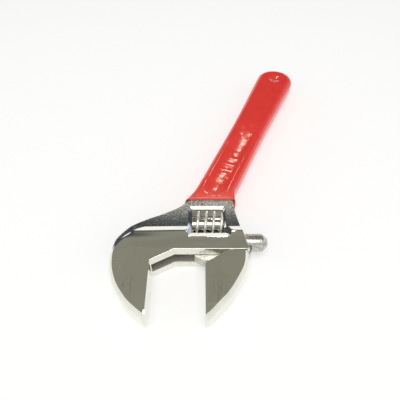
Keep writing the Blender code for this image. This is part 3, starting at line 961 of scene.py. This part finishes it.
def body_rim(sizes):
    """The forging's outline with its edge widths."""
    small = (sizes.small_edge, sizes.small_edge)
    forged = (sizes.forged_edge, sizes.forged_edge)
    flat = (1.0, 1.0)
    corners = [(0.0, TIP_Y), (0.0, 0.0129), (0.0108, THROAT_Y), (0.0455, THROAT_Y), (0.0425, 0.0317)]
    *ground, right = straight_runs(corners, OUTLINE_STEP)
    neck = smooth_run([corners[-1], (0.0403, 0.0470), (0.0404, 0.0545)], 14)[:-1]
    shoulder = smooth_run([(0.0240, 0.0610), (0.0204, 0.0556), (0.0145, 0.0490), (0.0112, 0.0460)], 8)[:-1]
    back = [(0.0112, 0.0460), (0.0040, 0.0418), (-0.0029, 0.0380), (-0.0105, 0.0330)]
    end = [(-0.0167, 0.0259), (-0.0184, 0.0185), (-0.0184, 0.0125), (-0.0172, 0.0070)]
    jaw = [(-0.0146, 0.0010), (-0.0098, -0.0055), (-0.0050, -0.0098), (-0.0012, -0.0126)]
    left = smooth_run(back + end + jaw, 9)
    return Rim([
        *[(run, small, flat) for run in ground],
        (right, (0.0004, 0.0004), flat),
        (neck, (0.0010, sizes.forged_edge), flat),
        (handle_outline(0.0)[:-1], forged, flat),
        (shoulder, forged, flat),
        (left[:27], (sizes.forged_edge, 0.0007), flat),
        (left[27:45], (0.0007, sizes.edge_width), (1.0, EDGE_RATIO)),
        (left[45:], (sizes.edge_width, sizes.edge_width), (EDGE_RATIO, EDGE_RATIO)),
    ])


def slot_outline():
    """Plan of the slot for the movable jaw's neck, up to the middle of the bore."""
    left = BORE_LEFT_X + GAP
    right = [(GAP, -0.0300), (PAST_HEAD_X, -0.0300), (PAST_HEAD_X, RACK_Y)]
    return [Vector(p) for p in (*right, (left, RACK_Y), (left, 0.0176), (GAP, 0.0146))]


def body_face(centre, normal):
    """Which finish a face of the body has: 0 polished, 1 blasted, 2 machined."""
    x, y, z = centre
    share = float(pocket_share(np.float64(x), np.float64(y)))
    in_slot = abs(z) < NECK_HALF + GAP + 0.00002 and abs(normal.z) > 0.9 and y < RACK_Y
    in_bore = x > BORE_LEFT_X - 0.0001 and math.hypot(y - RACK_Y, z) < RACK_RADIUS + GAP + 0.00005
    in_window = share < 0.02 and abs(normal.z) < 0.5
    if in_slot or in_bore or in_window:
        return 2
    corner = x < 0 and y > 0.0190 and corner_reach(x, y, BLAST_CIRCLE) > 0
    return 1 if share >= 1.0 and (corner or y > BLAST_Y) else 0


def crossing_lines(rim, y, step):
    """The parts of the level line at y that lie well inside the outline, as runs of points."""
    places = np.array([(x, y) for x in np.arange(rim.points[:, 0].min(), rim.points[:, 0].max(), step)])
    _, shares = rim.nearest(places)
    ring = pocket_share(places[:, 0], places[:, 1])
    kept = inside_outline(rim.points, places) & (shares > 1.2) & (ring > 1.15)
    return [run for run in kept_runs(places, kept) if len(run) > 1]


def body_lines(rim):
    """Lines that the body's mesh keeps: at its section's bends, round the pocket and at the back corner."""
    levels = [RAMP_Y + past for past in (-0.0006, -0.0003, 0, 0.0003, 0.0007)] + [BLAST_Y, BLAST_Y + 0.0002]
    lines = [run for y in levels for run in crossing_lines(rim, y, 0.0007)]
    lines += crossing_lines(rim, THROAT_Y, 0.0010)
    lines += [pocket_ring(share) for share in (-0.02, 0.05, 0.35, 0.70, 0.90, 0.97, 1.03, 1.12)]
    circles = [(BLAST_CIRCLE, 0), (SLOPE_CIRCLE, -0.0004), (SLOPE_CIRCLE, 0), (SLOPE_CIRCLE, 0.0004)]
    for (centre, radius), grow in circles:
        curve = arc(Vector(centre), radius + grow, math.radians(112), math.radians(165), 44)
        inside = inside_outline(rim.points, np.array(pairs(curve)))
        lines.append([tuple(p) for p, keep in zip(curve, inside) if keep and p.y < BLAST_Y])
    return lines


def make_body(sizes):
    """The forging: fixed jaw, head, knurl window, slot and bore, and the handle under the grip."""
    rim = body_rim(sizes)
    steps = [((-0.0200, 0.0240), 0.0016), ((0.0240, 0.0560), 0.0009), ((0.0560, 0.2000), 0.0030)]
    body = plate("forged_body", rim, head_height, body_lines(rim), steps)
    window = prism("window", rounded_rectangle(WINDOW_LOW, WINDOW_HIGH, WINDOW_CORNER, 8), -0.0150, 0.0150)
    combine(body, window, "DIFFERENCE")
    bore = rod("bore", RACK_RADIUS + GAP, BORE_LEFT_X, PAST_HEAD_X, RACK_Y, sizes.round_steps)
    slot = prism("slot", slot_outline(), -NECK_HALF - GAP, NECK_HALF + GAP)
    combine(body, combine(bore, slot, "UNION"), "DIFFERENCE")
    pin_hole = rod("pin hole", PIN_RADIUS + GAP, PIN_LOW.x - GAP, PAST_HEAD_X, KNURL_Y, 48)
    return combine(body, pin_hole, "DIFFERENCE")


# Movable jaw


def jaw_rim(sizes):
    top = THROAT_Y - GAP
    outer = [(0.0011, TIP_Y - 0.0004), (0.0033, -0.0109), (0.0064, -0.0077), (0.0115, -0.0023)]
    upper = [(0.0158, 0.0042), (0.0192, 0.0110), (0.0203, top)]
    shift = Vector((OPENING, 0.0))
    run = smooth_run([Vector(p) + shift for p in outer + upper], 9)
    corners = [run[-1], (OPENING + 0.0112, top), (OPENING, 0.0118), (OPENING, TIP_Y + 0.0008)]
    tip = straight_run(corners[-1], run[0], 0.0006)
    ground = [*straight_runs(corners, OUTLINE_STEP), tip]
    small = (sizes.small_edge, sizes.small_edge)
    return Rim([
        (run[:-1], (sizes.edge_width, sizes.edge_width), (EDGE_RATIO, EDGE_RATIO)),
        *[(side, small, (1.0, 1.0)) for side in ground],
    ])


def neck_outline():
    """Plan of the neck: a nose under the throat on its left, a fillet up to the rack on its right."""
    nose = [(OPENING + 0.0004, 0.0), (OPENING + 0.0002, 0.0152), (RACK_LEFT_X + 0.0007, 0.0180)]
    up = [(RACK_LEFT_X + 0.0007, RACK_Y), (0.0480, RACK_Y)]
    fillet = smooth_run([(0.0475, 0.0220), (0.0461, 0.0192), (0.0440, 0.0165), (0.0400, 0.0080)], 6)
    return [Vector(p) for p in (*nose, *up, *fillet)][::-1]


def rack_grooves(pitch, steps):
    """One ring about the knurl's axis for each groove, leaning with the thread and set in a row."""
    outer, inner = KNURL_RADIUS + GAP, KNURL_ROOT_RADIUS
    half_tip, half_foot = 0.00080, 0.00128
    profile = [(half_foot, inner), (half_tip, outer), (-half_tip, outer), (-half_foot, inner)]
    ring = turned("groove ring", profile, steps, cyclic=True)
    slope = pitch / (2 * math.pi * (KNURL_RADIUS - 0.0005))
    ring.data.transform(Matrix.Shear("XY", 4, (-slope, 0.0)))
    first = KNURL_LOW.x + THREAD_SHIFT + 0.75 * pitch
    count = int((RACK_RIGHT_X - 0.0010 - first) / pitch) + 1
    values = {"Count": count, "First": (first, KNURL_Y, 0.0), "Spacing": (pitch, 0.0, 0.0)}
    made = run_tree("rack grooves", ring, once("row of copies", row_tree), values)
    close(made.data)
    return made


def jaw_face(centre, normal):
    """Which finish a face of the movable jaw has: 0 polished, 1 as turned or machined."""
    past_plate = centre.y > THROAT_Y - GAP - 0.00001
    on_neck = abs(centre.z) < NECK_HALF - 0.0002 and centre.x < OPENING
    return 1 if past_plate or on_neck else 0


def make_movable_jaw(sizes):
    """The movable jaw: its ground plate, the neck in the slot and the toothed rack in the bore."""
    def height(x, y):
        return thickness(y)

    jaw = plate("movable_jaw_plate", jaw_rim(sizes), height, [], [((-0.0200, 0.0200), 0.0014)])
    neck = prism("neck", neck_outline(), -NECK_HALF, NECK_HALF)
    bevel = (0.0026, 0.0024)
    rack = chamfered_rod(
        "rack", RACK_RADIUS, RACK_LEFT_X, RACK_RIGHT_X, RACK_Y, bevel, 0.0007, sizes.round_steps)
    combine(jaw, combine(neck, rack, "UNION"), "UNION")
    return combine(jaw, rack_grooves(sizes.pitch, 2 * sizes.round_steps), "DIFFERENCE")


# Knurl, pin and spring


def make_knurl(sizes):
    """The knurl: a core with the thread wound round it, cut to length and hollowed for pin and spring."""
    length = KNURL_HIGH.x - KNURL_LOW.x
    turns = math.ceil(length / sizes.pitch) + 4
    root = KNURL_RADIUS - 0.0015
    thread = wound_wire("thread", {
        "Turns": float(turns),
        "Radius": root,
        "Height": turns * sizes.pitch,
        "Wire across": 2 * (KNURL_RADIUS - root),
        "Wire along": sizes.crest_width,
        "Corner": 0.45 * sizes.crest_width,
        "Steps per turn": sizes.round_steps,
    })
    thread.data.transform(Matrix.Rotation(math.radians(90), 4, "Y"))
    moved(thread, KNURL_LOW.x + THREAD_SHIFT - 2 * sizes.pitch, KNURL_Y)
    close(thread.data)
    ends = (KNURL_LOW.x - 0.002, KNURL_HIGH.x + 0.002)
    core = rod("threaded core", KNURL_ROOT_RADIUS, *ends, KNURL_Y, sizes.round_steps)
    combine(core, thread, "UNION")
    bore = PIN_RADIUS + GAP
    chamfer = 0.0006
    over = 0.0003
    profile = [
        (length, bore),
        (length, KNURL_RADIUS - chamfer),
        (length - chamfer - over, KNURL_RADIUS + over),
        (chamfer + over, KNURL_RADIUS + over),
        (0, KNURL_RADIUS - chamfer),
        (0, SPRING_POCKET_RADIUS),
        (SPRING_POCKET_DEPTH, SPRING_POCKET_RADIUS),
        (SPRING_POCKET_DEPTH, bore),
    ]
    blank = moved(turned("knurl_thread", profile, sizes.round_steps, cyclic=True), KNURL_LOW.x, KNURL_Y)
    return combine(blank, core, "INTERSECT")


def knurl_face(centre, normal):
    """Which finish a face of the knurl has: 0 on the thread's crests, 1 in its grooves, a darker copy of the
    chrome that paints the shade there.
    """
    return 1 if math.hypot(centre.y - KNURL_Y, centre.z) < KNURL_ROOT_RADIUS + 0.0005 else 0


def make_pin():
    """The knurl's pin, with a driver slot in its right end."""
    chamfer = (0.0003, 0.0003)
    pin = chamfered_rod("knurl_pin_screw", PIN_RADIUS, PIN_LOW.x, PIN_HIGH.x, KNURL_Y, chamfer, 0.0002, 64)
    deep, half_wide = 0.0008, 0.0004
    outline = [(-deep, -half_wide), (deep, -half_wide), (deep, half_wide), (-deep, half_wide)]
    slot = moved(prism("driver slot", outline, -0.0030, 0.0030), PIN_HIGH.x, KNURL_Y)
    return combine(pin, slot, "DIFFERENCE")


def make_spring(sizes):
    """The spring round the pin, wound along Z and then laid along X."""
    wire = sizes.spring_wire
    spring = wound_wire("knurl_spring_wire", {
        "Turns": sizes.spring_turns,
        "Radius": (SPRING_HIGH.z - SPRING_LOW.z) / 2 - wire,
        "Height": SPRING_HIGH.x - SPRING_LOW.x - 2 * wire,
        "Wire across": 2 * wire,
        "Wire along": 2 * wire,
        "Corner": 0.98 * wire,
        "Steps per turn": 32,
    })
    spring.data.transform(Matrix(((0, 0, 1, 0), (1, 0, 0, 0), (0, 1, 0, 0), (0, 0, 0, 1))))
    return moved(spring, SPRING_LOW.x + wire, KNURL_Y)


# Grip


def grip_rim():
    outer = handle_outline(GRIP_WALL)
    front_left, front_right = (0.0148, GRIP_FRONT_Y), (0.0415, GRIP_FRONT_Y)
    right = smooth_run([front_right, (0.0413, 0.0555), outer[0]], 8)
    left = smooth_run([outer[-1], (0.0216, 0.0614), (0.0190, 0.0563), front_left], 8)
    front = straight_run(front_left, front_right, OUTLINE_STEP)
    return Rim([
        (right[:-1], (0.0034, 0.0032), (1.0, 1.0)),
        (outer[:-1], (0.0032, 0.0032), (1.12, 1.12)),
        (left[:-1], (0.0032, 0.0030), (1.0, 1.0)),
        (front, (0.0012, 0.0012), (1.0, 1.0)),
    ])


def segment_distance(x, y, start, stop):
    """Distance in plan to the straight line between two points, and how far along it the nearest point is."""
    along = stop - start
    t = ((x - start.x) * along.x + (y - start.y) * along.y) / along.length_squared
    t = np.clip(t, 0, 1)
    return np.hypot(x - start.x - t * along.x, y - start.y - t * along.y), t


def hollow_ends():
    """The ends of the middle line of the hollow in the grip's face."""
    along = handle_direction()
    return HANDLE_START - 0.0042 * along, HANDLE_START + 0.0600 * along


def grip_height(depth):
    """The grip's face: a lip at its front, a long hollow that fades towards the end, and the dimple."""
    start, stop = hollow_ends()

    def height(x, y):
        distance, t = segment_distance(x, y, start, stop)
        fade = 1 - smooth_step((t - 0.45) / 0.55)
        bowl = 0.50 * (1 - smooth_step((distance - 0.0046) / 0.0018))
        bowl = bowl + 0.50 * np.maximum(1 - (distance / 0.0062) ** 2, 0)
        wave = 0.00013 * np.sin(78 * t) * np.exp(-(((t - 0.28) / 0.16) ** 2))
        hollow = depth * fade * bowl + wave * (1 - smooth_step((distance - 0.0030) / 0.0020))
        lip = 0.00035 * np.exp(-(((y - GRIP_FRONT_Y - 0.0020) / 0.0007) ** 2))
        reach = np.hypot(x - HANDLE_END.x, y - HANDLE_END.y)
        dimple = 0.0010 * np.exp(-((reach / 0.0034) ** 4))
        return GRIP_HALF - hollow - lip - dimple

    return height


def grip_cavity_outline():
    """The space for the handle inside the grip, open at the front."""
    inner = handle_outline(GAP)
    front = [Vector((0.0150, 0.0300)), Vector((0.0407, 0.0300)), Vector((0.0407, 0.0545))]
    left = [Vector((0.0236, 0.0612)), Vector((0.0200, 0.0558)), Vector((0.0142, 0.0492))]
    return front + inner + left


def make_grip(sizes):
    """The dipped grip: soft edges, sunken face, the lip at its front and the dimple over the hang hole."""
    rim = grip_rim()
    start, stop = hollow_ends()
    side = handle_side()
    turn = math.atan2(side.y, side.x)
    lines = []
    for reach in (0.0036, 0.0046, 0.0054, 0.0062, 0.0070):
        back = straight_run(stop - reach * side, start - reach * side, 0.0025)
        round_start = arc(start, reach, turn + math.pi, turn + 2 * math.pi, 24)
        straight = straight_run(start + reach * side, stop + reach * side, 0.0025)
        lines.append(pairs([*back, *round_start, *straight]))
    for behind in (0.0008, 0.0012, 0.0017, 0.0022, 0.0027):
        lines += crossing_lines(rim, GRIP_FRONT_Y + behind, 0.0010)
    steps = [((0.0, 0.0700), 0.0012), ((0.0700, 0.2000), 0.0015)]
    grip = plate("dipped_grip", rim, grip_height(sizes.panel_depth), lines, steps)
    half = WEB_HALF + GAP
    return combine(grip, prism("cavity", grip_cavity_outline(), -half, half), "DIFFERENCE")


# Stage

FLOOR_REACH = 4.0
CAMERA_PLACE = (0.0227, -0.0661, 0.1436)
CAMERA_TILT = 40
CAMERA_LENS = 31.23

# Tones of the room behind and in front of the wrench, by the sine of their elevation, and on its right

BACK_TONES = [
    (-1.0, (1.0, 1.0, 0.98)),
    (0.10, (1.15, 1.15, 1.12)),
    (0.27, (1.15, 1.15, 1.12)),
    (0.37, (0.055, 0.065, 0.080)),
    (0.58, (0.075, 0.085, 0.095)),
    (0.76, (0.275, 0.276, 0.236)),
    (0.824, (0.285, 0.286, 0.244)),
    (0.833, (0.205, 0.206, 0.178)),
    (0.842, (0.280, 0.276, 0.232)),
    (1.0, (0.278, 0.270, 0.222)),
]
FRONT_TONES = [
    (-1.0, (1.0, 1.0, 0.98)),
    (0.40, (0.96, 0.96, 0.94)),
    (0.75, (0.70, 0.70, 0.67)),
    (1.0, (0.340, 0.335, 0.295)),
]
SIDE_TONE = (0.52, 0.58, 0.82, 1.0)


def make_floor(colour):
    """A large pale floor under the wrench that glows a little."""
    level = CAD_BOX[0][2]
    corners = [(x * FLOOR_REACH, y * FLOOR_REACH, level) for x, y in ((-1, -1), (1, -1), (1, 1), (-1, 1))]
    mesh = bpy.data.meshes.new("floor")
    mesh.from_pydata(corners, [], [(0, 1, 2, 3)])
    material, n, shader = new_material("floor", 0.0)
    n.link((*colour, 1.0), shader["Base Color"])
    n.link(1.0, shader["Roughness"])
    n.link(0.0, shader["Specular IOR Level"])
    n.link((1.0, 1.0, 1.0, 1.0), shader["Emission Color"])
    n.link(0.50, shader["Emission Strength"])
    mesh.materials.append(material)
    add_object("floor", mesh)


def tone_ramp(n, rise, tones):
    """The tone at that rise, the sine of an elevation."""
    level = n.math("MULTIPLY_ADD", rise, 0.5, 0.5)
    ramp = n.add("ShaderNodeValToRGB", {"Fac": level})
    ramp.color_ramp.interpolation = "EASE"
    stops = ramp.color_ramp.elements
    while len(stops) < len(tones):
        stops.new(0.5)
    for stop, (height, colour) in zip(stops, tones):
        stop.position = 0.5 * height + 0.5
        stop.color = (*colour, 1.0)
    return ramp.outputs["Color"]


def make_room():
    """A studio as a soft gradient: pale all round at the horizon and in front, darker behind the wrench."""
    world = bpy.data.worlds.new("studio")
    world.use_nodes = True
    bpy.context.scene.world = world
    n = Nodes(world.node_tree)
    x, y, z = n.split(n.place("Generated"))
    around = n.mix(n.ramp(y, -0.10, 0.35), tone_ramp(n, z, FRONT_TONES), tone_ramp(n, z, BACK_TONES))
    beside = n.math("MULTIPLY", n.ramp(x, 0.32, 0.56), n.ramp(z, 0.75, 0.55))
    beside = n.math("MULTIPLY", beside, n.ramp(y, 0.50, 0.68))
    n.link(n.mix(beside, around, SIDE_TONE), world.node_tree.nodes["Background"].inputs["Color"])


def make_softbox(name, direction, distance, width, height, radiance, colour):
    """A rectangular lamp in the direction, turned to face the wrench."""
    middle = Vector((0.03, 0.05, 0.0))
    data = bpy.data.lights.new(name, "AREA")
    data.shape = "RECTANGLE"
    data.size = width
    data.size_y = height
    data.energy = radiance * math.pi * width * height
    data.color = colour
    lamp = add_object(name, data)
    away = Vector(direction).normalized()
    lamp.location = middle + distance * away
    lamp.rotation_euler = away.to_track_quat("Z", "Y").to_euler()
    return lamp


def make_camera():
    data = bpy.data.cameras.new("camera")
    data.lens = CAMERA_LENS
    data.sensor_width = 36.0
    data.clip_start = 0.005
    camera = add_object("camera", data)
    camera.location = CAMERA_PLACE
    camera.rotation_euler = (math.radians(CAMERA_TILT), 0.0, 0.0)
    bpy.context.scene.camera = camera


# Operators


class WRENCH_OT_body(bpy.types.Operator):
    """Builds the forged body with its fixed jaw."""

    bl_idname = "wrench.body"
    bl_label = "Body"

    def execute(self, context):
        finishes = context.scene.wrench_finishes
        body = make_body(context.scene.wrench_sizes)
        materials = [polished_chrome(finishes), blasted_chrome(finishes), machined_steel(finishes)]
        finish_piece(body, "root", ["body"], materials, 22, body_face)
        return {"FINISHED"}


class WRENCH_OT_movable_jaw(bpy.types.Operator):
    """Builds the movable jaw with its neck and rack."""

    bl_idname = "wrench.movable_jaw"
    bl_label = "Movable jaw"

    def execute(self, context):
        finishes = context.scene.wrench_finishes
        jaw = make_movable_jaw(context.scene.wrench_sizes)
        materials = [
            polished_chrome(finishes, "polished jaw chrome", 0.7568, 0.40),
            bright_chrome(finishes, "rack chrome", 0.70, 0.22, 0.90),
        ]
        finish_piece(jaw, "jaw", ["movable_jaw"], materials, 22, jaw_face)
        return {"FINISHED"}


class WRENCH_OT_knurl(bpy.types.Operator):
    """Builds the threaded knurl."""

    bl_idname = "wrench.knurl"
    bl_label = "Knurl"

    def execute(self, context):
        finishes = context.scene.wrench_finishes
        knurl = make_knurl(context.scene.wrench_sizes)
        materials = [
            bright_chrome(finishes, "knurl crests", 1.0, 0.24, 0.20, 0.70),
            # Half as bright as the crests' chrome: painted shade between the crests; its heavier clouding
            # stands for settled dirt.
            bright_chrome(finishes, "knurl grooves with painted shade", 0.50, 0.12, 0.80),
        ]
        finish_piece(knurl, "knurl", ["knurl"], materials, 35, knurl_face)
        return {"FINISHED"}


class WRENCH_OT_pin_and_spring(bpy.types.Operator):
    """Builds the knurl's pin and the spring round it."""

    bl_idname = "wrench.pin_and_spring"
    bl_label = "Pin and spring"

    def execute(self, context):
        finishes = context.scene.wrench_finishes
        steel = machined_steel(finishes, "spring steel")
        chrome = bright_chrome(finishes, "pin chrome", 0.90, 0.22)
        finish_piece(make_pin(), "root", ["knurl_pin"], [chrome], 35)
        spring = make_spring(context.scene.wrench_sizes)
        finish_piece(spring, "root", ["knurl_spring"], [steel], 50)
        return {"FINISHED"}


class WRENCH_OT_grip(bpy.types.Operator):
    """Builds the dipped vinyl grip."""

    bl_idname = "wrench.grip"
    bl_label = "Grip"

    def execute(self, context):
        vinyl = dipped_vinyl(context.scene.wrench_finishes)
        finish_piece(make_grip(context.scene.wrench_sizes), "root", ["grip"], [vinyl], 40)
        return {"FINISHED"}


class WRENCH_OT_stage(bpy.types.Operator):
    """Builds the floor, the light and the camera."""

    bl_idname = "wrench.stage"
    bl_label = "Stage"

    def execute(self, context):
        stage = context.scene.wrench_stage
        make_floor(stage.floor)
        make_room()
        make_softbox("overhead", (0.0, -0.25, 0.97), 0.9, 0.50, 0.50, stage.overhead, (1.0, 0.99, 0.97))
        pale_yellow = (1.0, 0.93, 0.76)
        strip = make_softbox("strip", (0.065, 0.716, 0.695), 0.8, 0.05, 0.09, stage.strip, pale_yellow)
        strip.visible_diffuse = False
        make_camera()
        context.scene.view_settings.view_transform = "Standard"
        return {"FINISHED"}


OPERATORS = (
    WRENCH_OT_body,
    WRENCH_OT_movable_jaw,
    WRENCH_OT_knurl,
    WRENCH_OT_pin_and_spring,
    WRENCH_OT_grip,
    WRENCH_OT_stage,
)


class WRENCH_PT_pieces(bpy.types.Panel):
    """Lists the wrench's sizes, finishes and pieces."""

    bl_idname = "WRENCH_PT_pieces"
    bl_label = "Adjustable Wrench"
    bl_space_type = "VIEW_3D"
    bl_region_type = "UI"
    bl_category = "Wrench"

    def draw(self, context):
        for group in (context.scene.wrench_sizes, context.scene.wrench_finishes, context.scene.wrench_stage):
            box = self.layout.box()
            for name in group.bl_rna.properties.keys():
                if name not in ("rna_type", "name"):
                    box.prop(group, name)
        for operator in OPERATORS:
            self.layout.operator(operator.bl_idname)


CLASSES = (WrenchSizes, WrenchFinishes, WrenchStage, *OPERATORS, WRENCH_PT_pieces)


def register():
    for item in CLASSES:
        bpy.utils.register_class(item)
    bpy.types.Scene.wrench_sizes = PointerProperty(type=WrenchSizes)
    bpy.types.Scene.wrench_finishes = PointerProperty(type=WrenchFinishes)
    bpy.types.Scene.wrench_stage = PointerProperty(type=WrenchStage)


def unregister():
    del bpy.types.Scene.wrench_stage
    del bpy.types.Scene.wrench_finishes
    del bpy.types.Scene.wrench_sizes
    for item in reversed(CLASSES):
        bpy.utils.unregister_class(item)


def main():
    register()
    bpy.ops.wrench.stage()
    bpy.ops.wrench.body()
    bpy.ops.wrench.movable_jaw()
    bpy.ops.wrench.knurl()
    bpy.ops.wrench.pin_and_spring()
    bpy.ops.wrench.grip()


if __name__ == "__main__":
    main()
